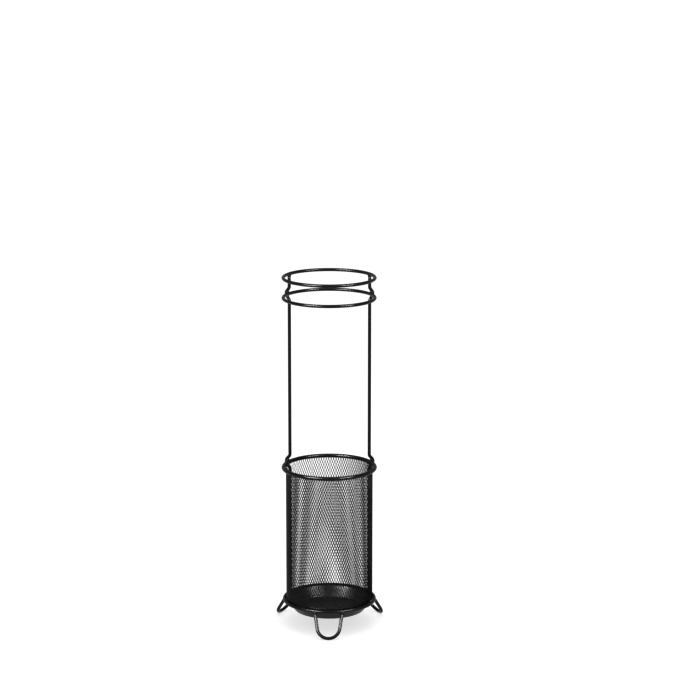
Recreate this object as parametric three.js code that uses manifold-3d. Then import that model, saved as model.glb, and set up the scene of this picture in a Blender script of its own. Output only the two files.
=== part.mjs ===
// Wire umbrella stand: two hoops on a pair of posts, an expanded-metal basket with a drip pan, and wire feet.
// Millimetres, +Z up. The floor is z = 0, and the origin lies under the middle of the stand's plan.

import * as THREE from "three";
import { mergeVertices } from "three/addons/utils/BufferGeometryUtils.js";
import Module from "manifold-3d";

const manifold = await Module();
manifold.setup();

// ---- Driving dimensions ----

const overallHeight = 550; // floor to the top of the upper hoop
const hoopDiameter = 140; // both hoops, between wire centres
const hoopSpacing = 31; // between the two hoops' wire centres
const wireDiameter = 5; // hoops, posts and feet
const weldGap = 0.3; // between two wires that are welded to each other

const rimHeight = 250; // centre of the ring around the basket's mouth
const rimTubeDiameter = 6.2;
const baseHeight = 38.4; // centre of the ring around the basket's foot
const baseWireDiameter = 5.2;
const wallThickness = 0.8; // expanded-metal sheet
const wallAboveRim = 1.2; // sheet edge above the rim ring's centre
const wallBelowBase = 1.4; // sheet edge below the base ring's centre

const postAzimuth = 28; // degrees from +X towards the back, and the same on the other side
const jogRamp = 7; // height over which a post leans out to clear a ring
const jogBendRadius = 5;

const panThickness = 1;
const panUndersideHeight = 22;
const panSideRun = 12; // how far the flat floor's edge lies in from the lip
const panLipHeight = 4; // upright lip, against the inside of the wall
const panBendRadius = 3;

const footReach = 90; // axis of the hoops to the wire's centre where a foot meets the floor
const legSpacing = 42; // between a foot's two legs where they meet the base ring
const toeRadius = 17.4; // bend on which a foot stands
const rearFootAzimuth = 30; // the two rear feet, mirrored left and right
const frontFootAzimuth = 270;

const buttBeadRadius = 4.1; // weld around the end of a post or a leg
const crossBeadRadius = 3.9; // weld where two wires lie across each other

// ---- Facets ----

const wireSides = 12;
const ringSteps = 54;
const bendSteps = 3;
const toeSteps = 12;
const beadDetail = 0;

// ---- Sizes that follow from the driving dimensions ----

const wireRadius = wireDiameter / 2;
const rimTubeRadius = rimTubeDiameter / 2;
const baseWireRadius = baseWireDiameter / 2;
const hoopRadius = hoopDiameter / 2;
const upperHoopHeight = overallHeight - wireRadius;
const lowerHoopHeight = upperHoopHeight - hoopSpacing;

const postRadius = hoopRadius; // a post's end meets the hoop's wire from below
const wallOuterRadius = postRadius - wireRadius - weldGap;
const wallInnerRadius = wallOuterRadius - wallThickness;
const rimRadius = wallOuterRadius + weldGap + rimTubeRadius;
const baseRadius = wallOuterRadius + weldGap + baseWireRadius;

const legEndHeight = baseHeight - baseWireRadius; // a leg's end meets the base ring's wire from below
const legEndOut = Math.sqrt(baseRadius ** 2 - (legSpacing / 2) ** 2);
const panOuterRadius = wallInnerRadius - weldGap;
const panFloorRadius = panOuterRadius - panSideRun;

// The front foot reaches further than the rim ring does at the back, so the hoops' axis stands a little
// behind the origin.
const frontExtent = footReach + wireRadius;
const backExtent = rimRadius + rimTubeRadius;
const axisY = (frontExtent - backExtent) / 2;

// ---- Finishes ----

const powderCoat = { color: 0x1b1b1a, roughness: 0.42, metalness: 0.1 };
const wallCoat = { color: 0x1d1d1c, roughness: 0.5, metalness: 0.1 };
const panCoat = { color: 0x202120, roughness: 0.32, metalness: 0.1 };

// ---- Bent wire ----

// A wire's centre line through given stations. A sweep along it takes one step per station, so that bends
// get short steps and a straight run gets one long step.
class WirePath extends THREE.Curve {
  constructor(stations) {
    super();
    this.stations = stations;
    this.runs = stations.length - 1;
  }

  getPoint(t, target = new THREE.Vector3()) {
    const place = THREE.MathUtils.clamp(t, 0, 1) * this.runs;
    const run = Math.min(Math.floor(place), this.runs - 1);
    return target.lerpVectors(this.stations[run], this.stations[run + 1], place - run);
  }

  getTangent(t, target = new THREE.Vector3()) {
    const station = Math.round(t * this.runs);
    const before = this.runDirection(Math.max(station - 1, 0));
    const after = this.runDirection(Math.min(station, this.runs - 1));
    return target.addVectors(before, after).normalize();
  }

  runDirection(run) {
    return new THREE.Vector3().subVectors(this.stations[run + 1], this.stations[run]).normalize();
  }

  getUtoTmapping(u) {
    return u;
  }
}

// Stations along an arc that replaces the corner between two straight runs.
function roundCorner(before, corner, after, bendRadius, steps) {
  const inward = new THREE.Vector3().subVectors(before, corner).normalize();
  const outward = new THREE.Vector3().subVectors(after, corner).normalize();
  const halfAngle = inward.angleTo(outward) / 2;
  const tangentLength = bendRadius / Math.tan(halfAngle);
  const start = corner.clone().addScaledVector(inward, tangentLength);
  const towardsCentre = new THREE.Vector3().addVectors(inward, outward).normalize();
  const centre = corner.clone().addScaledVector(towardsCentre, bendRadius / Math.sin(halfAngle));
  const spoke = new THREE.Vector3().subVectors(start, centre);
  const bendAxis = new THREE.Vector3().crossVectors(outward, inward).normalize();
  const turn = Math.PI - 2 * halfAngle;
  const stations = [];
  for (let step = 0; step <= steps; step += 1) {
    stations.push(spoke.clone().applyAxisAngle(bendAxis, (turn * step) / steps).add(centre));
  }
  return stations;
}

// A corner list entry is a point, or a point with the radius and step count of its bend.
function bentPath(corners) {
  const stations = [];
  corners.forEach((corner, index) => {
    if (!corner.bendRadius) {
      stations.push(corner.at);
      return;
    }
    const before = corners[index - 1].at;
    const after = corners[index + 1].at;
    stations.push(...roundCorner(before, corner.at, after, corner.bendRadius, corner.steps));
  });
  return new WirePath(stations);
}

function sweepWire(path, radius) {
  const section = new THREE.Shape().absarc(0, 0, radius, 0, 2 * Math.PI);
  return new THREE.ExtrudeGeometry(section, {
    curveSegments: wireSides / 2, // an arc gets two sides for each segment
    steps: path.runs,
    extrudePath: path,
  });
}

// ---- Geometry of each piece; "grown" thickens it, to cut its place out of a weld bead ----

function ringGeometry(radius, tubeRadius, height) {
  const ring = new THREE.TorusGeometry(radius, tubeRadius, wireSides, ringSteps);
  return ring.translate(0, 0, height);
}

const hoopGeometry = (height, grown = 0) => ringGeometry(hoopRadius, wireRadius + grown, height);
const rimGeometry = (grown = 0) => ringGeometry(rimRadius, rimTubeRadius + grown, rimHeight);
const baseGeometry = (grown = 0) => ringGeometry(baseRadius, baseWireRadius + grown, baseHeight);

// Four corners that lead a post out around a ring and back, from below to above.
function jogCorners(ringRadius, ringTubeRadius, ringHeight) {
  const clearRadius = ringRadius + ringTubeRadius + weldGap + wireRadius;
  const corner = (radius, height) => ({
    at: new THREE.Vector3(radius, 0, height),
    bendRadius: jogBendRadius,
    steps: bendSteps,
  });
  return [
    corner(postRadius, ringHeight - ringTubeRadius - jogRamp),
    corner(clearRadius, ringHeight - ringTubeRadius),
    corner(clearRadius, ringHeight + ringTubeRadius),
    corner(postRadius, ringHeight + ringTubeRadius + jogRamp),
  ];
}

// A post in the XZ plane: up from the base ring's top, around the rim ring and the lower hoop, to the upper
// hoop's underside.
function postGeometry(grown = 0) {
  const bottom = baseHeight + baseWireRadius + weldGap - grown;
  const top = upperHoopHeight - wireRadius - weldGap + grown;
  const path = bentPath([
    { at: new THREE.Vector3(postRadius, 0, bottom) },
    ...jogCorners(rimRadius, rimTubeRadius, rimHeight),
    ...jogCorners(hoopRadius, wireRadius, lowerHoopHeight),
    { at: new THREE.Vector3(postRadius, 0, top) },
  ]);
  return sweepWire(path, wireRadius + grown);
}

// A foot that leans out along +X, with its wire in one leaning plane: two legs that end under the base ring,
// joined at the floor by the toe's bend.
function footGeometry(grown = 0) {
  const toe = new THREE.Vector2(footReach, wireRadius);
  const legEnd = new THREE.Vector2(legEndOut, legEndHeight);
  const footLength = toe.distanceTo(legEnd);
  const inFootPlane = (along, across) => {
    const place = toe.clone().lerp(legEnd, along / footLength);
    return { at: new THREE.Vector3(place.x, across, place.y) };
  };

  // Each leg runs on the line from its end that touches the toe's arc.
  const rise = footLength - toeRadius;
  const aside = legSpacing / 2;
  const legTilt = Math.atan2(aside, rise) - Math.asin(toeRadius / Math.hypot(rise, aside));
  const legEndStation = (side) => inFootPlane(footLength + grown, side * (aside + grown * Math.tan(legTilt)));
  const toeArc = [];
  for (let step = 0; step <= toeSteps; step += 1) {
    const angle = -legTilt - ((Math.PI - 2 * legTilt) * step) / toeSteps;
    toeArc.push(inFootPlane(toeRadius * (1 + Math.sin(angle)), toeRadius * Math.cos(angle)));
  }
  return sweepWire(bentPath([legEndStation(1), ...toeArc, legEndStation(-1)]), wireRadius + grown);
}

// A profile of radius and height, turned about the stand's axis.
function turn(profile) {
  return new THREE.LatheGeometry(profile, ringSteps).rotateX(Math.PI / 2);
}

function wallGeometry(grown = 0) {
  const top = rimHeight + wallAboveRim + grown;
  const bottom = baseHeight - wallBelowBase - grown;
  const inside = wallInnerRadius - grown;
  const outside = wallOuterRadius + grown;
  const profile = [
    new THREE.Vector2(inside, bottom),
    new THREE.Vector2(outside, bottom),
    new THREE.Vector2(outside, top),
    new THREE.Vector2(inside, top),
    new THREE.Vector2(inside, bottom),
  ];
  return turn(profile);
}

// The pan's sheet: a flat floor, a rounded bend, a conical side and an upright lip.
function panGeometry() {
  const lipBottom = baseHeight;
  const lipTop = lipBottom + panLipHeight;
  const outline = (inset) => {
    const floor = new THREE.Vector3(0, 0, panUndersideHeight + inset);
    const bend = new THREE.Vector3(panFloorRadius, 0, panUndersideHeight + inset);
    const brim = new THREE.Vector3(panOuterRadius - inset, 0, lipBottom);
    const edge = new THREE.Vector3(panOuterRadius - inset, 0, lipTop);
    const arc = roundCorner(floor, bend, brim, panBendRadius - inset, bendSteps);
    return [floor, ...arc, brim, edge].map((station) => new THREE.Vector2(station.x, station.z));
  };
  return turn([...outline(0), ...outline(panThickness).reverse()]);
}

// ---- Solids that are cut ----

function solidOf(geometry, azimuth = 0) {
  const placed = geometry.clone().rotateZ(THREE.MathUtils.degToRad(azimuth));
  placed.deleteAttribute("normal");
  placed.deleteAttribute("uv");
  const merged = mergeVertices(placed, 1e-3);
  const vertProperties = merged.attributes.position.array;
  const triVerts = new Uint32Array(merged.index.array);
  return new manifold.Manifold(new manifold.Mesh({ numProp: 3, vertProperties, triVerts }));
}

function geometryOf(solid) {
  const { vertProperties, triVerts } = solid.getMesh();
  const geometry = new THREE.BufferGeometry();
  geometry.setAttribute("position", new THREE.BufferAttribute(vertProperties, 3));
  geometry.setIndex(new THREE.BufferAttribute(triVerts, 1));
  geometry.computeVertexNormals();
  return geometry;
}

// A bead around the point where two wires meet, with the places of its neighbours cut out of it.
function beadGeometry(centre, azimuth, beadRadius, neighbours) {
  const ball = new THREE.IcosahedronGeometry(beadRadius, beadDetail).translate(centre.x, centre.y, centre.z);
  const bead = neighbours.reduce((left, neighbour) => left.subtract(neighbour), solidOf(ball, azimuth));
  const [largest] = bead.decompose().sort((one, other) => other.volume() - one.volume());
  return geometryOf(largest);
}

// ---- Assembly ----

const stand = new THREE.Group();
stand.position.y = axisY;

function addPiece(name, geometry, finish, azimuth = 0) {
  const mesh = new THREE.Mesh(geometry, new THREE.MeshStandardMaterial(finish));
  mesh.name = name;
  mesh.rotation.z = THREE.MathUtils.degToRad(azimuth);
  stand.add(mesh);
}

addPiece("upper_hoop", hoopGeometry(upperHoopHeight), powderCoat);
addPiece("lower_hoop", hoopGeometry(lowerHoopHeight), powderCoat);
addPiece("rim_ring", rimGeometry(), powderCoat);
addPiece("base_ring", baseGeometry(), powderCoat);
addPiece("mesh_wall", wallGeometry(), wallCoat);
addPiece("drip_pan", panGeometry(), panCoat);

const grownUpperHoop = solidOf(hoopGeometry(upperHoopHeight, weldGap));
const grownLowerHoop = solidOf(hoopGeometry(lowerHoopHeight, weldGap));
const grownRim = solidOf(rimGeometry(weldGap));
const grownBase = solidOf(baseGeometry(weldGap));
const grownWall = solidOf(wallGeometry(weldGap));

const posts = [
  { side: "left", azimuth: 180 - postAzimuth },
  { side: "right", azimuth: postAzimuth },
];
for (const { side, azimuth } of posts) {
  addPiece(`${side}_post`, postGeometry(), powderCoat, azimuth);
  const grownPost = solidOf(postGeometry(weldGap), azimuth);
  const addWeld = (ring, grownRing, radius, height, beadRadius) => {
    const centre = new THREE.Vector3(radius, 0, height);
    const bead = beadGeometry(centre, azimuth, beadRadius, [grownRing, grownPost, grownWall]);
    addPiece(`weld_${ring}_${side}_post`, bead, powderCoat);
  };
  addWeld("upper_hoop", grownUpperHoop, postRadius, upperHoopHeight - wireRadius, buttBeadRadius);
  addWeld("lower_hoop", grownLowerHoop, hoopRadius + wireRadius, lowerHoopHeight, crossBeadRadius);
  addWeld("rim_ring", grownRim, rimRadius + rimTubeRadius, rimHeight, crossBeadRadius);
  addWeld("base_ring", grownBase, postRadius, baseHeight + baseWireRadius, buttBeadRadius);
}

const feet = [
  { place: "front", azimuth: frontFootAzimuth },
  { place: "left", azimuth: 180 - rearFootAzimuth },
  { place: "right", azimuth: rearFootAzimuth },
];
for (const { place, azimuth } of feet) {
  const baseInFootFrame = solidOf(baseGeometry(weldGap), -azimuth);
  const coped = solidOf(footGeometry()).subtract(baseInFootFrame); // the legs' ends follow the ring's wire
  addPiece(`${place}_foot`, geometryOf(coped), powderCoat, azimuth);
  const grownFoot = solidOf(footGeometry(weldGap), azimuth);
  for (const [leg, side] of [["first", 1], ["second", -1]]) {
    const centre = new THREE.Vector3(legEndOut, (side * legSpacing) / 2, legEndHeight);
    const bead = beadGeometry(centre, azimuth, buttBeadRadius, [grownBase, grownFoot, grownWall]);
    addPiece(`weld_${place}_foot_${leg}_leg`, bead, powderCoat);
  }
}

const group = new THREE.Group();
group.add(stand);

export default group;
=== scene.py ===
"""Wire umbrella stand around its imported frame: coated wire, expanded metal, pan and welds."""

from __future__ import annotations

import logging
import math
from dataclasses import dataclass
from enum import Enum
from typing import Sequence

import bmesh
import bpy
import numpy as np
from mathutils import Matrix, Vector, noise


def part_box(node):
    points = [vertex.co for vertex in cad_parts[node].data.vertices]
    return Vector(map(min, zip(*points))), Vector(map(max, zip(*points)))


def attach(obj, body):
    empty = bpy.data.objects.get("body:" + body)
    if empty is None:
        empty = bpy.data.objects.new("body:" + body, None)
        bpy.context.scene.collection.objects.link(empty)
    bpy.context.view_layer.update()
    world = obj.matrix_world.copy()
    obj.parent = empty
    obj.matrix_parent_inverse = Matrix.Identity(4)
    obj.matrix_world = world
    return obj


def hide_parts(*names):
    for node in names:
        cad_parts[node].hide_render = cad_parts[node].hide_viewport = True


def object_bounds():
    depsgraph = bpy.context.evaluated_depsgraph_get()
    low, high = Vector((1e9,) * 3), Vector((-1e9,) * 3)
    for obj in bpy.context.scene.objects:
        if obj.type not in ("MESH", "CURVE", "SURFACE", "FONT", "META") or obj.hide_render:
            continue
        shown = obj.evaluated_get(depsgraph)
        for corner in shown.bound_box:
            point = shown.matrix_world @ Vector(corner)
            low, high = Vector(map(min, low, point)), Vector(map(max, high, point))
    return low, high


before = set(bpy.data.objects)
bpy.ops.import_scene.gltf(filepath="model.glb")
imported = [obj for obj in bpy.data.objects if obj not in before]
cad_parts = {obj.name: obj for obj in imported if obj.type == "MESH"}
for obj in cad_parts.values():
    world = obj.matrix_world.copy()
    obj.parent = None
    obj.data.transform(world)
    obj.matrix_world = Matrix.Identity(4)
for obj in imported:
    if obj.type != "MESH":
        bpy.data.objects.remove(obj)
CAD_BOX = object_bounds()

MM = 0.001
BODY = "root"

LOG = logging.getLogger("umbrella_stand")

Colour = tuple[float, float, float, float]


class Slot(Enum):
    """The names of the stand's finish slots."""

    WIRE = "powder_coat"
    WALL = "wall_coat"
    PAN = "pan_coat"


class Side(Enum):
    """The two posts, with the mirror sign of each along X."""

    LEFT = ("left", -1.0)
    RIGHT = ("right", 1.0)

    @property
    def label(self) -> str:
        """The word used in node names."""
        return self.value[0]

    @property
    def sign(self) -> float:
        """The side's sign along X."""
        return self.value[1]


class FootPlace(Enum):
    """The three feet, with the azimuth of each in degrees from +X towards +Y."""

    FRONT = ("front", 270.0)
    LEFT = ("left", 150.0)
    RIGHT = ("right", 30.0)

    @property
    def label(self) -> str:
        """The word used in node names."""
        return self.value[0]

    @property
    def azimuth(self) -> float:
        """The foot's direction in radians."""
        return math.radians(self.value[1])


# ---------------------------------------------------------------------------
# Mesh helpers
# ---------------------------------------------------------------------------


def link_mesh(name: str, mesh: bpy.types.Mesh) -> bpy.types.Object:
    """Put a mesh into the scene as a new object.

    Args:
        name: Name of the piece.
        mesh: Its mesh.

    Returns:
        The linked object.
    """
    piece = bpy.data.objects.new(name, mesh)
    bpy.context.scene.collection.objects.link(piece)
    return piece


def mesh_from_faces(
    name: str, points: np.ndarray, faces: Sequence[Sequence[int]], crease: float = 40.0
) -> bpy.types.Object:
    """Make a smooth-shaded piece from points and faces, with hard edges where it turns sharply.

    Args:
        name: Name of the piece.
        points: Corner positions, one row each.
        faces: Corner numbers of each face.
        crease: Angle in degrees above which an edge stays hard.

    Returns:
        The linked object.
    """
    mesh = bpy.data.meshes.new(name)
    mesh.from_pydata([tuple(p) for p in points], [], [tuple(f) for f in faces])
    mesh.update()
    build = bmesh.new()
    build.from_mesh(mesh)
    bmesh.ops.recalc_face_normals(build, faces=build.faces)
    build.to_mesh(mesh)
    build.free()
    mesh.shade_smooth()
    mesh.set_sharp_from_angle(angle=math.radians(crease))
    return link_mesh(name, mesh)


def place_on_body(piece: bpy.types.Object, nodes: Sequence[str]) -> bpy.types.Object:
    """Join a piece to the stand's body and let it stand for its CAD nodes.

    Args:
        piece: The finished piece.
        nodes: Names of the CAD nodes that it replaces.

    Returns:
        The same piece.
    """
    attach(piece, BODY)
    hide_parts(*nodes)
    LOG.info("%s replaces %s", piece.name, ", ".join(nodes))
    return piece


def around(azimuth: float, origin: Vector) -> Matrix:
    """Matrix that turns local X to an azimuth about the stand's upright axis."""
    return Matrix.Translation(origin) @ Matrix.Rotation(azimuth, 4, "Z")


def round_corner(
    before: Vector, corner: Vector, after: Vector, radius: float, steps: int
) -> list[Vector]:
    """Replace a corner between two straight runs by an arc.

    Args:
        before: A point on the run that arrives.
        corner: Where the two runs would meet.
        after: A point on the run that leaves.
        radius: Bend radius.
        steps: Number of chords along the arc.

    Returns:
        The arc's points from the first run to the second.
    """
    inward = (before - corner).normalized()
    outward = (after - corner).normalized()
    half = inward.angle(outward) / 2.0
    start = corner + inward * (radius / math.tan(half))
    centre = corner + (inward + outward).normalized() * (radius / math.sin(half))
    axis = outward.cross(inward).normalized()
    turn = math.pi - 2.0 * half
    spoke = start - centre
    turns = [Matrix.Rotation(turn * i / steps, 4, axis) for i in range(steps + 1)]
    return [rotation @ spoke + centre for rotation in turns]


def ring_of_points(
    centre: Vector, side: Vector, rise: Vector, radius: float, count: int
) -> list[Vector]:
    """Points on a circle spanned by two unit directions."""
    turns = [2.0 * math.pi * i / count for i in range(count)]
    return [centre + (side * math.cos(t) + rise * math.sin(t)) * radius for t in turns]


# ---------------------------------------------------------------------------
# Wire
# ---------------------------------------------------------------------------


@dataclass
class Wire:
    """Round wire along a path, open with cut ends or closed on itself."""

    path: list[Vector]
    radius: float
    closed: bool = False
    sides: int = 20
    end_chamfer: float = 0.45 * MM
    nearly_upright: float = 0.1
    crease: float = 50.0

    def frames(self) -> list[tuple[Vector, Vector, Vector]]:
        """Carry a steady cross-section along the path.

        Returns:
            The tangent and the two section directions at each path point.
        """
        count = len(self.path)
        tangents = []
        for i, point in enumerate(self.path):
            ahead = self.path[(i + 1) % count] if self.closed or i + 1 < count else point
            behind = self.path[i - 1] if self.closed or i > 0 else point
            tangents.append((ahead - behind).normalized())
        side = tangents[0].cross(Vector((0.0, 0.0, 1.0)))
        if side.length < self.nearly_upright:
            side = tangents[0].cross(Vector((1.0, 0.0, 0.0)))
        side.normalize()
        frames = []
        for tangent in tangents:
            side = (side - tangent * side.dot(tangent)).normalized()
            frames.append((tangent, side, tangent.cross(side)))
        return frames

    def build(self, name: str) -> bpy.types.Object:
        """Sweep the wire into a closed mesh.

        Args:
            name: Name of the piece.

        Returns:
            The linked object.
        """
        frames = self.frames()
        rings = [
            ring_of_points(point, side, rise, self.radius, self.sides)
            for point, (_, side, rise) in zip(self.path, frames)
        ]
        if not self.closed:
            rings.insert(0, self.end_ring(0, frames[0]))
            rings.append(self.end_ring(-1, frames[-1]))
            inset = self.end_chamfer
            rings[1] = [p + frames[0][0] * inset for p in rings[1]]
            rings[-2] = [p - frames[-1][0] * inset for p in rings[-2]]
        points = np.array([tuple(p) for ring in rings for p in ring])
        faces: list[Sequence[int]] = []
        last = len(rings) if self.closed else len(rings) - 1
        for i in range(last):
            low, high = i * self.sides, ((i + 1) % len(rings)) * self.sides
            for k in range(self.sides):
                n = (k + 1) % self.sides
                faces.append((low + k, low + n, high + n, high + k))
        if not self.closed:
            faces.append(range(self.sides - 1, -1, -1))
            faces.append(range((len(rings) - 1) * self.sides, len(rings) * self.sides))
        return mesh_from_faces(name, points, faces, self.crease)

    def end_ring(self, index: int, axes: tuple[Vector, Vector, Vector]) -> list[Vector]:
        """The smaller ring that closes a cut end.

        Args:
            index: Which point of the path the wire ends at.
            axes: The tangent and the two section directions there.

        Returns:
            The ring's points.
        """
        _, side, rise = axes
        inner = self.radius - self.end_chamfer
        return ring_of_points(self.path[index], side, rise, inner, self.sides)

    def distance(self, points: np.ndarray) -> np.ndarray:
        """Signed distance of points to the wire's surface.

        Args:
            points: Positions, one row each.

        Returns:
            Distances, negative inside the wire.
        """
        ends = np.array([tuple(p) for p in self.path])
        starts, stops = ends[:-1], ends[1:]
        if self.closed:
            starts, stops = ends, np.roll(ends, -1, axis=0)
        nearest = np.full(len(points), np.inf)
        for start, stop in zip(starts, stops):
            run = stop - start
            share = np.clip((points - start) @ run / (run @ run), 0.0, 1.0)
            gap = np.linalg.norm(points - (start + share[:, None] * run), axis=1)
            nearest = np.minimum(nearest, gap)
        return nearest - self.radius


@dataclass
class RingWire:
    """A wire ring whose place and gauge are read from its CAD node."""

    node: str
    steps: int = 160

    def __post_init__(self) -> None:
        """Read the ring's sizes."""
        low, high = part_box(self.node)
        self.tube = (high.z - low.z) / 2.0
        self.radius = (high.x - low.x) / 2.0 - self.tube
        self.centre = (low + high) / 2.0

    def wire(self) -> Wire:
        """The ring as a closed wire.

        Returns:
            The wire.
        """
        across, away = Vector((1.0, 0.0, 0.0)), Vector((0.0, 1.0, 0.0))
        path = ring_of_points(self.centre, across, away, self.radius, self.steps)
        return Wire(path, self.tube, closed=True)

    @property
    def outside(self) -> float:
        """Radius of the ring's outer edge."""
        return self.radius + self.tube

    def build(self) -> bpy.types.Object:
        """Make the ring in place of its node."""
        return place_on_body(self.wire().build(f"{self.node}_wire"), [self.node])


# ---------------------------------------------------------------------------
# Posts and feet
# ---------------------------------------------------------------------------


@dataclass
class Post:
    """An upright wire that jogs out around the rim ring and the lower hoop."""

    side: Side
    upper_hoop: RingWire
    lower_hoop: RingWire
    rim: RingWire
    base: RingWire
    jog_ramp: float = 7.0 * MM
    bend_radius: float = 5.0 * MM
    gap: float = 0.3 * MM
    bite: float = 0.4 * MM
    bend_steps: int = 8
    run_step: float = 12.0 * MM

    def __post_init__(self) -> None:
        """Read the post's azimuth from its node."""
        low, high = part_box(f"{self.side.label}_post")
        middle = (low + high) / 2.0 - self.upper_hoop.centre
        self.azimuth = math.atan2(middle.y, middle.x)
        self.radius = self.upper_hoop.tube

    def jog(self, ring: RingWire) -> list[tuple[float, float]]:
        """The four corners that lead the wire around a ring.

        Args:
            ring: The ring that the wire passes outside of.

        Returns:
            Each corner's radius and height, from the lowest up.
        """
        clear = ring.outside + self.gap + self.radius
        height = ring.centre.z
        return [
            (self.upper_hoop.radius, height - ring.tube - self.jog_ramp),
            (clear, height - ring.tube),
            (clear, height + ring.tube),
            (self.upper_hoop.radius, height + ring.tube + self.jog_ramp),
        ]

    def wire(self) -> Wire:
        """The bent wire, from the base ring to the upper hoop.

        Returns:
            The wire.
        """
        bottom = self.base.centre.z + self.base.tube - self.bite
        top = self.upper_hoop.centre.z - self.upper_hoop.tube + self.bite
        corners = [
            (self.upper_hoop.radius, bottom),
            *self.jog(self.rim),
            *self.jog(self.lower_hoop),
            (self.upper_hoop.radius, top),
        ]
        turned = around(self.azimuth, Vector((0.0, self.upper_hoop.centre.y, 0.0)))
        stations = [turned @ Vector((r, 0.0, z)) for r, z in corners]
        path = [stations[0]]
        for before, corner, after in zip(stations, stations[1:], stations[2:]):
            path += round_corner(before, corner, after, self.bend_radius, self.bend_steps)
        path.append(stations[-1])
        return Wire(fill_runs(path, self.run_step), self.radius)

    def build(self) -> bpy.types.Object:
        """Make the post in place of its node."""
        node = f"{self.side.label}_post"
        return place_on_body(self.wire().build(f"{node}_wire"), [node])


def fill_runs(path: Sequence[Vector], step: float) -> list[Vector]:
    """Add points along long straight runs, so that no face is far longer than it is wide.

    Args:
        path: Points of a wire.
        step: Longest run that is left whole.

    Returns:
        The path with its added points.
    """
    filled = [path[0]]
    for start, stop in zip(path, path[1:]):
        count = max(1, math.ceil((stop - start).length / step))
        filled += [start.lerp(stop, (i + 1) / count) for i in range(count)]
    return filled


@dataclass
class Foot:
    """A wire foot in one leaning plane: two legs under the base ring, joined by a rounded toe."""

    place: FootPlace
    base: RingWire
    leg_spacing: float = 42.0 * MM
    toe_radius: float = 17.4 * MM
    bite: float = 0.6 * MM
    toe_steps: int = 44
    run_step: float = 6.0 * MM

    def __post_init__(self) -> None:
        """Read the wire gauge and the reach from the front foot's node."""
        self.radius = RingWire("upper_hoop").tube
        low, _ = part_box(f"{FootPlace.FRONT.label}_foot")
        self.reach = self.base.centre.y - low.y - self.radius
        self.aside = self.leg_spacing / 2.0
        self.leg_end = Vector((
            math.sqrt(self.base.radius**2 - self.aside**2),
            0.0,
            self.base.centre.z - self.base.tube,
        ))

    def turned(self) -> Matrix:
        """Matrix from the foot's own frame, in which it reaches out along +X."""
        return around(self.place.azimuth, Vector((0.0, self.base.centre.y, 0.0)))

    def wire(self) -> Wire:
        """The bent wire, from one leg's end round the toe to the other's.

        Each leg runs straight along the toe's tangent, so the wire has no kink.

        Returns:
            The wire.
        """
        toe = Vector((self.reach, 0.0, self.radius))
        length = (self.leg_end - toe).length
        up_foot = (self.leg_end - toe).normalized()
        across = Vector((0.0, 1.0, 0.0))
        rise = length - self.toe_radius
        spread = math.atan2(self.aside, rise)
        tilt = spread - math.asin(self.toe_radius / math.hypot(rise, self.aside))
        path = []
        for i in range(self.toe_steps + 1):
            angle = -tilt - (math.pi - 2.0 * tilt) * i / self.toe_steps
            along = self.toe_radius * (1.0 + math.sin(angle))
            path.append(toe + up_foot * along + across * self.toe_radius * math.cos(angle))
        wide = self.aside + self.bite * math.tan(tilt)
        path.insert(0, toe + up_foot * (length + self.bite) + across * wide)
        path.append(toe + up_foot * (length + self.bite) - across * wide)
        turned = self.turned()
        return Wire([turned @ p for p in fill_runs(path, self.run_step)], self.radius)

    def leg_ends(self) -> list[Vector]:
        """Where the two legs meet the base ring."""
        ends = [self.leg_end + Vector((0.0, sign * self.aside, 0.0)) for sign in (1.0, -1.0)]
        return [self.turned() @ end for end in ends]

    def build(self) -> bpy.types.Object:
        """Make the foot in place of its node."""
        node = f"{self.place.label}_foot"
        return place_on_body(self.wire().build(f"{node}_wire"), [node])


# ---------------------------------------------------------------------------
# Welds
# ---------------------------------------------------------------------------


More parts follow.
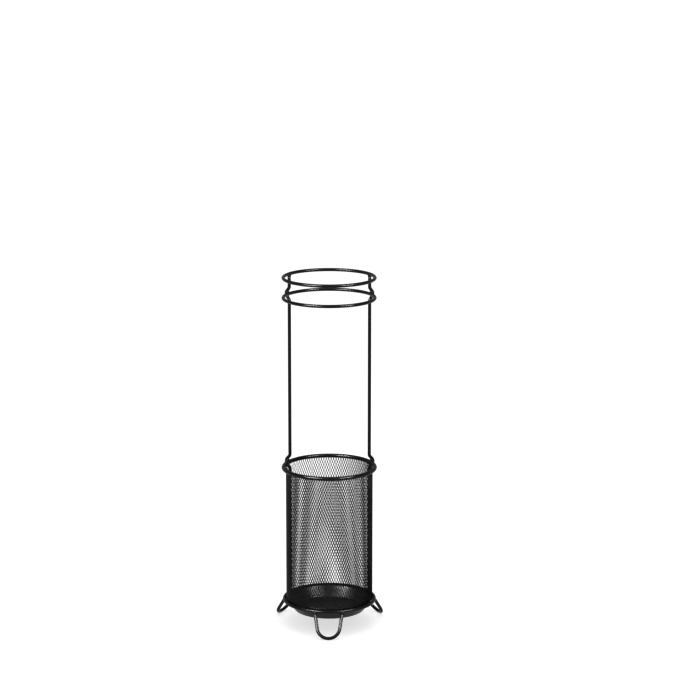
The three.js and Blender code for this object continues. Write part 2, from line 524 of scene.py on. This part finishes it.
@dataclass
class Weld:
    """A weld that fillets the corner between two wires, with or without a round bead over it."""

    node: str
    centre: Vector
    wires: tuple[Wire, Wire]
    fillet: float = 3.2 * MM
    bead: float = 0.0
    lumps: float = 0.35
    lump_size: float = 1.6 * MM
    reach: float = 4.3 * MM
    sunk: float = 0.04 * MM
    bead_fillet: float = 0.4
    rounds: int = 28
    ball_subdivisions: int = 4
    seed_scale: float = 1000.0

    @staticmethod
    def joined(first: np.ndarray, second: np.ndarray, fillets: np.ndarray) -> np.ndarray:
        """Two distances joined by a smooth fillet."""
        near = np.clip(fillets - np.abs(first - second), 0.0, None) / fillets
        return np.minimum(first, second) - near**2 * fillets / 4.0

    def surface(self, points: np.ndarray, fillets: np.ndarray) -> np.ndarray:
        """Distance to the weld's surface.

        Args:
            points: Where to measure.
            fillets: Width of the fillet at each point.

        Returns:
            One distance per point, less than zero inside.
        """
        first, second = (wire.distance(points) for wire in self.wires)
        metal = self.joined(first, second, fillets)
        if self.bead > 0.0:
            ball = np.linalg.norm(points - np.array(self.centre), axis=1) - self.bead
            metal = self.joined(metal, ball, fillets * self.bead_fillet)
        return metal + self.sunk

    def build(self) -> bpy.types.Object:
        """Blow a small ball out to the filleted surface, in place of the weld's node.

        Returns:
            The weld.
        """
        ball = bmesh.new()
        bmesh.ops.create_icosphere(ball, subdivisions=self.ball_subdivisions, radius=1.0)
        rays = np.array([tuple(v.co.normalized()) for v in ball.verts])
        centre = np.array(self.centre)
        seed = self.centre * self.seed_scale
        lumpy = self.reach / self.lump_size
        wobble = np.array([noise.noise(Vector(ray) * lumpy + seed) for ray in rays])
        fillets = self.fillet * (1.0 + self.lumps * wobble)
        low, high = np.zeros(len(rays)), np.full(len(rays), self.reach)
        for _ in range(self.rounds):
            middle = (low + high) / 2.0
            outside = self.surface(centre + rays * middle[:, None], fillets) > 0.0
            low, high = np.where(outside, low, middle), np.where(outside, middle, high)
        for vert, ray, length in zip(ball.verts, rays, low):
            vert.co = Vector(centre + ray * length)
        mesh = bpy.data.meshes.new(self.node)
        ball.to_mesh(mesh)
        ball.free()
        mesh.shade_smooth()
        return place_on_body(link_mesh(f"{self.node}_bead", mesh), [self.node])


# ---------------------------------------------------------------------------
# Basket
# ---------------------------------------------------------------------------


@dataclass
class ExpandedWall:
    """The basket's wall: a rolled sheet of expanded metal with tall diamonds."""

    node: str = "mesh_wall"
    diamonds_round: int = 108
    half_rows: int = 46
    bond_half_width: float = 0.72 * MM
    bond_half_height: float = 0.85 * MM
    bond_corners: int = 6
    sheet: float = 0.32 * MM
    raised: float = 0.25 * MM
    crease: float = 25.0

    def __post_init__(self) -> None:
        """Read the wall's place from its node."""
        low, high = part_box(self.node)
        self.low, self.high = low, high
        self.centre = (low + high) / 2.0
        self.radius = (high.x - low.x) / 2.0 - self.sheet / 2.0 - self.raised

    def corner_offsets(self) -> list[tuple[float, float, float]]:
        """A bond's corners, clockwise from its upper left.

        Returns:
            Each corner's place across, its place up, and how far the raised sheet stands out there.
        """
        wide, tall = self.bond_half_width, self.bond_half_height
        return [
            (-wide, tall, self.raised),
            (0.0, tall, 0.0),
            (wide, tall, -self.raised),
            (wide, -tall, -self.raised),
            (0.0, -tall, 0.0),
            (-wide, -tall, self.raised),
        ]

    def layer(self, lift: float) -> np.ndarray:
        """Corners of all the bonds on one face of the sheet.

        Args:
            lift: Distance of this face from the sheet's middle.

        Returns:
            Positions by row, column and corner.
        """
        height = self.high.z - self.low.z
        pitch = 2.0 * math.pi / self.diamonds_round
        rise = (height - 2.0 * self.bond_half_height) / self.half_rows
        rows = []
        for row in range(self.half_rows + 1):
            middle = self.low.z + self.bond_half_height + row * rise
            for column in range(self.diamonds_round):
                turn = (column + (row % 2) / 2.0) * pitch
                for across, up, out in self.corner_offsets():
                    angle = turn + across / self.radius
                    reach = self.radius + out + lift
                    away = self.centre.y + math.sin(angle) * reach
                    rows.append((math.cos(angle) * reach, away, middle + up))
        return np.array(rows)

    def corner(self, row: int, column: int, index: int) -> int:
        """Number of a bond's corner in a layer, with the columns closing on themselves."""
        bond = row * self.diamonds_round + column % self.diamonds_round
        return bond * self.bond_corners + index

    def sheet_faces(self) -> list[tuple[int, ...]]:
        """Faces of one layer: two per bond, and one per strand that climbs to the next row.

        Returns:
            Corner numbers of each face.
        """
        faces: list[tuple[int, ...]] = []
        for row in range(self.half_rows + 1):
            shift = row % 2
            for column in range(self.diamonds_round):
                bond = [self.corner(row, column, k) for k in range(self.bond_corners)]
                tl, t, tr, br, b, bl = bond
                faces.append((tl, bl, b, t))
                faces.append((t, b, br, tr))
                if row == self.half_rows:
                    continue
                right, left = column + shift, column + shift - 1
                above_right = [self.corner(row + 1, right, k) for k in (4, 5)]
                above_left = [self.corner(row + 1, left, k) for k in (3, 4)]
                faces.append((t, tr, *above_right))
                faces.append((tl, t, *above_left))
        return faces

    def build(self) -> bpy.types.Object:
        """Make the two faces of the sheet and the cut edges between them.

        Returns:
            The wall.
        """
        outer, inner = self.layer(self.sheet / 2.0), self.layer(-self.sheet / 2.0)
        front = self.sheet_faces()
        count = len(outer)
        faces = list(front)
        faces += [tuple(count + i for i in reversed(face)) for face in front]
        seen: dict[tuple[int, int], int] = {}
        for face in front:
            for a, b in zip(face, face[1:] + face[:1]):
                seen[(a, b)] = seen.get((a, b), 0) + 1
        for a, b in seen:
            if (b, a) not in seen:
                faces.append((b, a, count + a, count + b))
        points = np.vstack([outer, inner])
        piece = mesh_from_faces(f"{self.node}_diamonds", points, faces, self.crease)
        return place_on_body(piece, [self.node])


@dataclass
class DripPan:
    """The pressed dish at the basket's foot."""

    node: str = "drip_pan"
    sheet: float = 1.0 * MM
    side_run: float = 12.0 * MM
    lip: float = 4.0 * MM
    floor_bend: float = 3.0 * MM
    brim_bend: float = 2.2 * MM
    lip_round: float = 0.45 * MM
    inner_round_share: float = 0.4
    floor_rings: tuple[float, ...] = (0.3, 0.6, 0.85)
    steps: int = 128
    bend_steps: int = 7
    crease: float = 60.0

    def outline(self, inset: float) -> list[Vector]:
        """The profile of one side of the sheet.

        Args:
            inset: Zero for the underside, or the sheet's thickness for the top.

        Returns:
            Points with their radius along X, from the middle out to the lip.
        """
        low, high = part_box(self.node)
        outside = (high.x - low.x) / 2.0
        floor = low.z + inset
        lip_bottom = high.z - self.lip
        centre = Vector((0.0, 0.0, floor))
        edge = Vector((outside - self.side_run, 0.0, floor))
        brim = Vector((outside - inset, 0.0, lip_bottom))
        top = Vector((outside - inset, 0.0, high.z - self.lip_round))
        points = [Vector((edge.x * share, 0.0, floor)) for share in self.floor_rings]
        points += round_corner(centre, edge, brim, self.floor_bend - inset, self.bend_steps)
        points += round_corner(edge, brim, top, self.brim_bend + inset, self.bend_steps)
        points.append(top)
        inward = self.lip_round if inset == 0.0 else -self.lip_round * self.inner_round_share
        points.append(Vector((top.x - inward, 0.0, high.z)))
        return points

    def build(self) -> bpy.types.Object:
        """Turn the profile about the stand's axis.

        Returns:
            The pan.
        """
        low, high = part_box(self.node)
        middle = (low + high) / 2.0
        profile = self.outline(0.0) + self.outline(self.sheet)[::-1]
        points = [(middle.x, middle.y, low.z)]
        faces: list[tuple[int, ...]] = []
        for i in range(self.steps):
            angle = 2.0 * math.pi * i / self.steps
            across, away = math.cos(angle), math.sin(angle)
            points += [(middle.x + p.x * across, middle.y + p.x * away, p.z) for p in profile]
        points.append((middle.x, middle.y, low.z + self.sheet))
        size, tip = len(profile), len(points) - 1
        for i in range(self.steps):
            here, there = 1 + i * size, 1 + ((i + 1) % self.steps) * size
            faces.append((0, there, here))
            faces.append((tip, here + size - 1, there + size - 1))
            faces += [(here + k, there + k, there + k + 1, here + k + 1) for k in range(size - 1)]
        piece = mesh_from_faces(f"{self.node}_dish", np.array(points), faces, self.crease)
        return place_on_body(piece, [self.node])


# ---------------------------------------------------------------------------
# Node groups
# ---------------------------------------------------------------------------


@dataclass(frozen=True)
class Socket:
    """One socket of a node group."""

    name: str
    kind: str = "NodeSocketFloat"
    default: float | None = None


def new_group(
    name: str, inputs: Sequence[Socket], outputs: Sequence[Socket]
) -> bpy.types.ShaderNodeTree:
    """Make an empty shader group with its sockets.

    Args:
        name: Name of the group.
        inputs: Its input sockets.
        outputs: Its output sockets.

    Returns:
        The group, holding only its input and output nodes.
    """
    tree = bpy.data.node_groups.new(name, "ShaderNodeTree")
    for socket, way in [(s, "INPUT") for s in inputs] + [(s, "OUTPUT") for s in outputs]:
        made = tree.interface.new_socket(name=socket.name, in_out=way, socket_type=socket.kind)
        if socket.default is not None:
            made.default_value = socket.default
    tree.nodes.new("NodeGroupInput")
    tree.nodes.new("NodeGroupOutput")
    return tree


@dataclass
class Wiring:
    """Short ways to add and join nodes in one tree."""

    tree: bpy.types.ShaderNodeTree

    def node(self, kind: str, **settings: object) -> bpy.types.Node:
        """Add a node.

        Args:
            kind: The node's type.
            settings: Properties to set on it.

        Returns:
            The node.
        """
        made = self.tree.nodes.new(kind)
        for key, value in settings.items():
            setattr(made, key, value)
        return made

    def join(self, source: bpy.types.NodeSocket, target: bpy.types.NodeSocket) -> None:
        """Link one socket to another."""
        self.tree.links.new(source, target)

    def feed(self, target: bpy.types.NodeSocket, value: object) -> None:
        """Link a socket, or set a plain value on it.

        Args:
            target: The input socket.
            value: An output socket, or the plain value.
        """
        if isinstance(value, bpy.types.NodeSocket):
            self.join(value, target)
        else:
            target.default_value = value

    def math(self, operation: str, *values: object, clamp: bool = False) -> bpy.types.NodeSocket:
        """Add a math node.

        Args:
            operation: What it does.
            values: Its inputs, each a socket or a number.
            clamp: Whether the result is kept between 0 and 1.

        Returns:
            The result's socket.
        """
        made = self.node("ShaderNodeMath", operation=operation, use_clamp=clamp)
        for socket, value in zip(made.inputs, values):
            self.feed(socket, value)
        return made.outputs[0]

    def noise(
        self, place: object, scale: object, detail: float = 2.0, rough: float = 0.5
    ) -> bpy.types.NodeSocket:
        """Add a noise texture.

        Args:
            place: Where it is measured.
            scale: How many times it repeats in a metre.
            detail: Number of finer layers.
            rough: Strength of each finer layer.

        Returns:
            The noise's value.
        """
        made = self.node("ShaderNodeTexNoise")
        self.feed(made.inputs["Vector"], place)
        self.feed(made.inputs["Scale"], scale)
        made.inputs["Detail"].default_value = detail
        made.inputs["Roughness"].default_value = rough
        return made.outputs["Fac"]

    def spread(
        self, value: object, low: float, high: float, to_low: object, to_high: object
    ) -> bpy.types.NodeSocket:
        """Map a value smoothly from one range to another.

        Args:
            value: The value.
            low: Where the first range starts.
            high: Where the first range ends.
            to_low: Where the second range starts.
            to_high: Where the second range ends.

        Returns:
            The mapped value.
        """
        made = self.node("ShaderNodeMapRange", interpolation_type="SMOOTHSTEP")
        names = ("Value", "From Min", "From Max", "To Min", "To Max")
        for name, part in zip(names, (value, low, high, to_low, to_high)):
            self.feed(made.inputs[name], part)
        return made.outputs["Result"]

    def tint(self, share: object, first: object, second: object) -> bpy.types.NodeSocket:
        """Mix two colours.

        Args:
            share: How much of the second colour shows.
            first: The first colour.
            second: The second colour.

        Returns:
            The mixed colour.
        """
        made = self.node("ShaderNodeMix", data_type="RGBA")
        self.feed(made.inputs["Factor"], share)
        self.feed(made.inputs["A"], first)
        self.feed(made.inputs["B"], second)
        return made.outputs["Result"]

    def place(self) -> bpy.types.NodeSocket:
        """The position on the piece, in metres."""
        return self.node("ShaderNodeTexCoord").outputs["Object"]


def group_ends(tree: bpy.types.ShaderNodeTree) -> tuple[bpy.types.Node, bpy.types.Node]:
    """A group's input and output nodes."""
    kinds = {n.bl_idname: n for n in tree.nodes}
    return kinds["NodeGroupInput"], kinds["NodeGroupOutput"]


@dataclass
class Effects:
    """The surface effects that several finishes share, each a node group built once."""

    fine_scale: float = 3.7
    fine_share: float = 0.35
    pit_smoothness: float = 0.8
    pit_width: float = 0.22
    close_scale: float = 6.5
    close_share: float = 0.45
    broad_share: float = 0.75
    broad_rough: float = 0.6
    mottle_range: tuple[float, float] = (0.42, 0.78)
    dust_slope: float = 0.35
    speck_scale: float = 9.0
    speck_range: tuple[float, float] = (0.5, 0.75)
    speck_share: float = 0.5
    drift_range: tuple[float, float] = (0.35, 0.7)
    drift_least: float = 0.15

    def __post_init__(self) -> None:
        """Build the groups."""
        self.peel = self.build_peel()
        self.mottle = self.build_mottle()
        self.dust = self.build_dust()

    def build_peel(self) -> bpy.types.ShaderNodeTree:
        """Make the fine orange-peel relief that baked powder leaves.

        Returns:
            A group that puts out a height.
        """
        inputs = [Socket("Grain", default=1200.0), Socket("Pits", default=0.3)]
        tree = new_group("powder_peel", inputs, [Socket("Height")])
        wiring = Wiring(tree)
        start, end = group_ends(tree)
        place = wiring.place()
        grain = start.outputs["Grain"]
        waves = wiring.noise(place, grain, detail=2.0)
        fine = wiring.noise(place, wiring.math("MULTIPLY", grain, self.fine_scale), detail=1.0)
        cells = wiring.node("ShaderNodeTexVoronoi", feature="SMOOTH_F1")
        wiring.join(place, cells.inputs["Vector"])
        wiring.join(grain, cells.inputs["Scale"])
        cells.inputs["Smoothness"].default_value = self.pit_smoothness
        pits = wiring.spread(cells.outputs["Distance"], 0.0, self.pit_width, 1.0, 0.0)
        pitted = wiring.math("MULTIPLY", pits, start.outputs["Pits"])
        rough = wiring.math("MULTIPLY_ADD", fine, self.fine_share, waves)
        wiring.join(wiring.math("SUBTRACT", rough, pitted), end.inputs["Height"])
        return tree

    def build_mottle(self) -> bpy.types.ShaderNodeTree:
        """Make the slow changes in the coat's depth and gloss.

        Returns:
            A group that puts out a mask.
        """
        tree = new_group("coat_mottle", [Socket("Size", default=60.0)], [Socket("Mask")])
        wiring = Wiring(tree)
        start, end = group_ends(tree)
        place = wiring.place()
        size = start.outputs["Size"]
        broad = wiring.noise(place, size, detail=3.0, rough=self.broad_rough)
        close = wiring.noise(place, wiring.math("MULTIPLY", size, self.close_scale), detail=2.0)
        slow = wiring.math("MULTIPLY", broad, self.broad_share)
        both = wiring.math("MULTIPLY_ADD", close, self.close_share, slow)
        wiring.join(wiring.spread(both, *self.mottle_range, 0.0, 1.0), end.inputs["Mask"])
        return tree

    def build_dust(self) -> bpy.types.ShaderNodeTree:
        """Make the fine dust that settles where a surface looks up.

        Returns:
            A group that puts out a mask.
        """
        inputs = [Socket("Amount", default=0.3), Socket("Size", default=220.0)]
        tree = new_group("settled_dust", inputs, [Socket("Mask")])
        wiring = Wiring(tree)
        start, end = group_ends(tree)
        facing = wiring.node("ShaderNodeSeparateXYZ")
        wiring.join(wiring.node("ShaderNodeNewGeometry").outputs["Normal"], facing.inputs[0])
        upward = wiring.spread(facing.outputs["Z"], self.dust_slope, 1.0, 0.0, 1.0)
        place = wiring.place()
        size = start.outputs["Size"]
        fine = wiring.noise(place, wiring.math("MULTIPLY", size, self.speck_scale))
        specks = wiring.spread(fine, *self.speck_range, 0.0, 1.0)
        broad = wiring.noise(place, size, detail=4.0)
        drifts = wiring.spread(broad, *self.drift_range, self.drift_least, 1.0)
        patchy = wiring.math("MULTIPLY_ADD", specks, self.speck_share, drifts)
        settled = wiring.math("MULTIPLY", upward, patchy)
        amount = wiring.math("MULTIPLY", settled, start.outputs["Amount"], clamp=True)
        wiring.join(amount, end.inputs["Mask"])
        return tree


# ---------------------------------------------------------------------------
# Finishes
# ---------------------------------------------------------------------------


@dataclass(frozen=True)
class PowderCoat:
    """A black powder coat: its colours, gloss, relief and dust."""

    name: str
    gloss_rough: float
    matt_rough: float
    relief: float
    dust: float
    deep: Colour = (0.0085, 0.0085, 0.0088, 1.0)
    thin: Colour = (0.0150, 0.0148, 0.0142, 1.0)
    dust_colour: Colour = (0.16, 0.15, 0.135, 1.0)
    grain: float = 1150.0
    pits: float = 0.30
    relief_depth: float = 0.05 * MM
    mottle_size: float = 70.0
    dust_size: float = 260.0
    dust_rough: float = 0.75
    specular: float = 0.5

    def material(self, effects: Effects) -> bpy.types.Material:
        """Build the finish's material.

        Args:
            effects: The shared surface effects.

        Returns:
            The material.
        """
        made = bpy.data.materials.new(self.name)
        made.use_nodes = True
        tree = made.node_tree
        tree.nodes.clear()
        wiring = Wiring(tree)
        output = wiring.node("ShaderNodeOutputMaterial")
        shader = wiring.node("ShaderNodeBsdfPrincipled")
        shader.inputs["Specular IOR Level"].default_value = self.specular
        wiring.join(shader.outputs[0], output.inputs["Surface"])

        mottle = wiring.node("ShaderNodeGroup", node_tree=effects.mottle)
        mottle.inputs["Size"].default_value = self.mottle_size
        dust = wiring.node("ShaderNodeGroup", node_tree=effects.dust)
        dust.inputs["Amount"].default_value = self.dust
        dust.inputs["Size"].default_value = self.dust_size
        peel = wiring.node("ShaderNodeGroup", node_tree=effects.peel)
        peel.inputs["Grain"].default_value = self.grain
        peel.inputs["Pits"].default_value = self.pits

        coat = wiring.tint(mottle.outputs["Mask"], self.deep, self.thin)
        dusted = wiring.tint(dust.outputs["Mask"], coat, self.dust_colour)
        wiring.join(dusted, shader.inputs["Base Color"])
        rough = wiring.spread(mottle.outputs["Mask"], 0.0, 1.0, self.gloss_rough, self.matt_rough)
        dusty = wiring.math("MULTIPLY", dust.outputs["Mask"], self.dust_rough)
        wiring.join(wiring.math("ADD", rough, dusty, clamp=True), shader.inputs["Roughness"])

        bump = wiring.node("ShaderNodeBump")
        bump.inputs["Strength"].default_value = self.relief
        bump.inputs["Distance"].default_value = self.relief_depth
        wiring.join(peel.outputs["Height"], bump.inputs["Height"])
        wiring.join(bump.outputs["Normal"], shader.inputs["Normal"])
        return made


@dataclass(frozen=True)
class Finishes:
    """The finishes of the stand's parts."""

    wire: PowderCoat = PowderCoat(
        "wire_powder_coat",
        gloss_rough=0.20,
        matt_rough=0.28,
        relief=0.05,
        dust=0.05,
    )
    wall: PowderCoat = PowderCoat(
        "wall_powder_coat",
        deep=(0.0110, 0.0110, 0.0112, 1.0),
        thin=(0.0180, 0.0179, 0.0175, 1.0),
        gloss_rough=0.26,
        matt_rough=0.38,
        grain=1600.0,
        relief=0.30,
        mottle_size=45.0,
        dust=0.12,
    )
    pan: PowderCoat = PowderCoat(
        "pan_powder_coat",
        deep=(0.0120, 0.0127, 0.0127, 1.0),
        thin=(0.0190, 0.0198, 0.0193, 1.0),
        gloss_rough=0.24,
        matt_rough=0.34,
        specular=0.75,
        grain=700.0,
        relief=0.16,
        relief_depth=0.06 * MM,
        mottle_size=28.0,
        dust=0.16,
        dust_size=120.0,
    )
    weld: PowderCoat = PowderCoat(
        "weld_powder_coat",
        gloss_rough=0.38,
        matt_rough=0.55,
        grain=900.0,
        pits=0.55,
        relief=0.45,
        relief_depth=0.10 * MM,
        dust=0.14,
    )


def dress(piece: bpy.types.Object, material: bpy.types.Material) -> None:
    """Give a piece one material."""
    piece.data.materials.clear()
    piece.data.materials.append(material)


# ---------------------------------------------------------------------------
# The stand
# ---------------------------------------------------------------------------


@dataclass
class Stand:
    """The whole stand, built sub-assembly by sub-assembly."""

    finishes: Finishes = Finishes()
    foot_bead: float = 3.6 * MM

    def __post_init__(self) -> None:
        """Set out the rings, which every other part is placed from."""
        self.upper_hoop = RingWire("upper_hoop")
        self.lower_hoop = RingWire("lower_hoop")
        self.rim = RingWire("rim_ring")
        self.base = RingWire("base_ring")
        rings = (self.upper_hoop, self.lower_hoop, self.rim, self.base)
        self.posts = [Post(side, *rings) for side in Side]
        self.feet = [Foot(place, self.base) for place in FootPlace]

    def post_welds(self, post: Post) -> list[Weld]:
        """The four welds of a post.

        Args:
            post: The post.

        Returns:
            The welds, from the highest down.
        """
        origin = Vector((0.0, self.base.centre.y, 0.0))
        turned = around(post.azimuth, origin)
        wire = post.wire()
        base_top = self.base.centre.z + self.base.tube
        hoop_under = self.upper_hoop.centre.z - self.upper_hoop.tube
        beside = post.gap / 2.0
        spots = [
            (self.upper_hoop, self.upper_hoop.radius, hoop_under),
            (self.lower_hoop, self.lower_hoop.outside + beside, self.lower_hoop.centre.z),
            (self.rim, self.rim.outside + beside, self.rim.centre.z),
            (self.base, self.base.radius, base_top),
        ]
        welds = []
        for ring, radius, height in spots:
            node = f"weld_{ring.node}_{post.side.label}_post"
            spot = turned @ Vector((radius, 0.0, height))
            welds.append(Weld(node, spot, (ring.wire(), wire)))
        return welds

    def foot_welds(self, foot: Foot) -> list[Weld]:
        """The two welds of a foot.

        Args:
            foot: The foot.

        Returns:
            The welds of its two legs.
        """
        wires = (self.base.wire(), foot.wire())
        welds = []
        for leg, spot in zip(("first", "second"), foot.leg_ends()):
            node = f"weld_{foot.place.label}_foot_{leg}_leg"
            welds.append(Weld(node, spot, wires, bead=self.foot_bead))
        return welds

    def build(self) -> None:
        """Make and dress every piece."""
        effects = Effects()
        coats = {
            "wire": self.finishes.wire.material(effects),
            "wall": self.finishes.wall.material(effects),
            "pan": self.finishes.pan.material(effects),
            "weld": self.finishes.weld.material(effects),
        }
        for ring in (self.upper_hoop, self.lower_hoop, self.rim, self.base):
            dress(ring.build(), coats["wire"])
        for part in (*self.posts, *self.feet):
            dress(part.build(), coats["wire"])
        dress(ExpandedWall().build(), coats["wall"])
        dress(DripPan().build(), coats["pan"])
        welds = [weld for post in self.posts for weld in self.post_welds(post)]
        welds += [weld for foot in self.feet for weld in self.foot_welds(foot)]
        for weld in welds:
            dress(weld.build(), coats["weld"])


# ---------------------------------------------------------------------------
# Studio
# ---------------------------------------------------------------------------


@dataclass(frozen=True)
class Softbox:
    """A rectangular lamp, placed by its direction from the stand's middle and turned to face it."""

    name: str
    azimuth: float
    elevation: float
    distance: float
    width: float
    height: float
    watts: float
    highlights_only: bool = False

    def build(self, centre: Vector) -> None:
        """Hang the lamp.

        Args:
            centre: The point that it faces.
        """
        lamp = bpy.data.lights.new(self.name, "AREA")
        lamp.shape = "RECTANGLE"
        lamp.size, lamp.size_y = self.width, self.height
        lamp.energy = self.watts
        holder = bpy.data.objects.new(self.name, lamp)
        turn, rise = math.radians(self.azimuth), math.radians(self.elevation)
        level = math.cos(rise)
        direction = Vector((math.sin(turn) * level, -math.cos(turn) * level, math.sin(rise)))
        holder.location = centre + direction * self.distance
        holder.rotation_euler = direction.to_track_quat("Z", "Y").to_euler()
        holder.visible_diffuse = not self.highlights_only
        bpy.context.scene.collection.objects.link(holder)


@dataclass
class Studio:
    """A plain pale floor, an even bright room and soft lamps."""

    floor_half: float = 30.0
    room: float = 0.70
    room_gloss: float = 0.42
    floor_seen: Colour = (0.50, 0.50, 0.50, 1.0)
    floor_bounce: Colour = (0.80, 0.80, 0.80, 1.0)
    floor_gloss: Colour = (0.20, 0.20, 0.20, 1.0)
    seen_glow: float = 0.70
    gloss_glow: float = 0.64
    light_colour: Colour = (1.0, 1.0, 1.0, 1.0)
    contrast: float = 0.69
    lamps: tuple[Softbox, ...] = (
        Softbox(
            "overhead_softbox",
            azimuth=0.0,
            elevation=88.0,
            distance=1.9,
            width=1.3,
            height=1.3,
            watts=9.0,
        ),
        Softbox(
            "left_softbox",
            azimuth=-42.0,
            elevation=33.0,
            distance=1.6,
            width=0.95,
            height=0.42,
            watts=56.0,
            highlights_only=True,
        ),
        Softbox(
            "right_softbox",
            azimuth=48.0,
            elevation=33.0,
            distance=1.6,
            width=0.75,
            height=0.42,
            watts=34.0,
            highlights_only=True,
        ),
    )

    def build_floor(self) -> None:
        """Lay the floor. A view from below sees through it."""
        low, _ = CAD_BOX
        mesh = bpy.data.meshes.new("floor")
        half = self.floor_half
        signs = ((-1.0, -1.0), (1.0, -1.0), (1.0, 1.0), (-1.0, 1.0))
        corners = [(half * across, half * away, low.z) for across, away in signs]
        mesh.from_pydata(corners, [], [(0, 1, 2, 3)])
        floor = link_mesh("floor", mesh)
        made = bpy.data.materials.new("studio_floor")
        made.use_nodes = True
        made.node_tree.nodes.clear()
        wiring = Wiring(made.node_tree)
        output = wiring.node("ShaderNodeOutputMaterial")
        path = wiring.node("ShaderNodeLightPath")
        paper = wiring.node("ShaderNodeBsdfDiffuse")
        indirect = wiring.tint(path.outputs["Is Glossy Ray"], self.floor_bounce, self.floor_gloss)
        tone = wiring.tint(path.outputs["Is Camera Ray"], indirect, self.floor_seen)
        wiring.join(tone, paper.inputs["Color"])
        glow = wiring.node("ShaderNodeEmission")
        mirrored = wiring.math("MULTIPLY", path.outputs["Is Glossy Ray"], self.gloss_glow)
        seen = wiring.math("MULTIPLY_ADD", path.outputs["Is Camera Ray"], self.seen_glow, mirrored)
        wiring.join(seen, glow.inputs["Strength"])
        lit = wiring.node("ShaderNodeAddShader")
        wiring.join(paper.outputs[0], lit.inputs[0])
        wiring.join(glow.outputs[0], lit.inputs[1])
        clear = wiring.node("ShaderNodeBsdfTransparent")
        mix = wiring.node("ShaderNodeMixShader")
        wiring.join(wiring.node("ShaderNodeNewGeometry").outputs["Backfacing"], mix.inputs[0])
        wiring.join(lit.outputs[0], mix.inputs[1])
        wiring.join(clear.outputs[0], mix.inputs[2])
        wiring.join(mix.outputs[0], output.inputs["Surface"])
        dress(floor, made)

    def build_room(self) -> None:
        """Light the room evenly, keep its reflections dim, and let the camera see white."""
        world = bpy.data.worlds.new("studio_room")
        bpy.context.scene.world = world
        world.use_nodes = True
        world.node_tree.nodes.clear()
        wiring = Wiring(world.node_tree)
        output = wiring.node("ShaderNodeOutputWorld")
        sky = wiring.node("ShaderNodeBackground")
        sky.inputs["Color"].default_value = self.light_colour
        path = wiring.node("ShaderNodeLightPath")
        mirrored, seen = path.outputs["Is Glossy Ray"], path.outputs["Is Camera Ray"]
        dim = wiring.math("MULTIPLY_ADD", mirrored, self.room_gloss - self.room, self.room)
        white = wiring.math("MULTIPLY_ADD", seen, 1.0 - self.room, dim)
        wiring.join(white, sky.inputs["Strength"])
        wiring.join(sky.outputs[0], output.inputs["Surface"])

    def build(self, centre: Vector) -> None:
        """Set up the floor, the room, the lamps and the view's contrast.

        Args:
            centre: The point that the lamps face.
        """
        self.build_floor()
        self.build_room()
        for lamp in self.lamps:
            lamp.build(centre)
        bpy.context.scene.view_settings.view_transform = "Standard"
        bpy.context.scene.view_settings.gamma = self.contrast


@dataclass
class Viewpoint:
    """The camera: a long lens at standing height, a hair to the right of the stand's front."""

    distance: float = 3.640
    height: float = 1.2143
    pitch: float = 11.86
    orbit: float = 1.0
    turn: float = 0.274
    sensor: float = 36.0
    lens: float = 128.54

    def build(self, axis_y: float) -> None:
        """Place the camera in front of the stand.

        Args:
            axis_y: Where the stand's upright axis is along Y.
        """
        data = bpy.data.cameras.new("portrait")
        data.sensor_width = self.sensor
        data.lens = self.lens
        camera = bpy.data.objects.new("portrait", data)
        swing = math.radians(self.orbit)
        heading = math.radians(self.orbit - self.turn)
        camera.location = (
            self.distance * math.sin(swing),
            axis_y - self.distance * math.cos(swing),
            self.height,
        )
        camera.rotation_euler = (math.radians(90.0 - self.pitch), 0.0, heading)
        bpy.context.scene.collection.objects.link(camera)
        bpy.context.scene.camera = camera


def main() -> None:
    """Build the stand and its studio."""
    logging.basicConfig(level=logging.INFO, format="%(message)s")
    stand = Stand()
    stand.build()
    low, high = CAD_BOX
    Studio().build((low + high) / 2.0)
    Viewpoint().build(stand.base.centre.y)


if __name__ == "__main__":
    main()
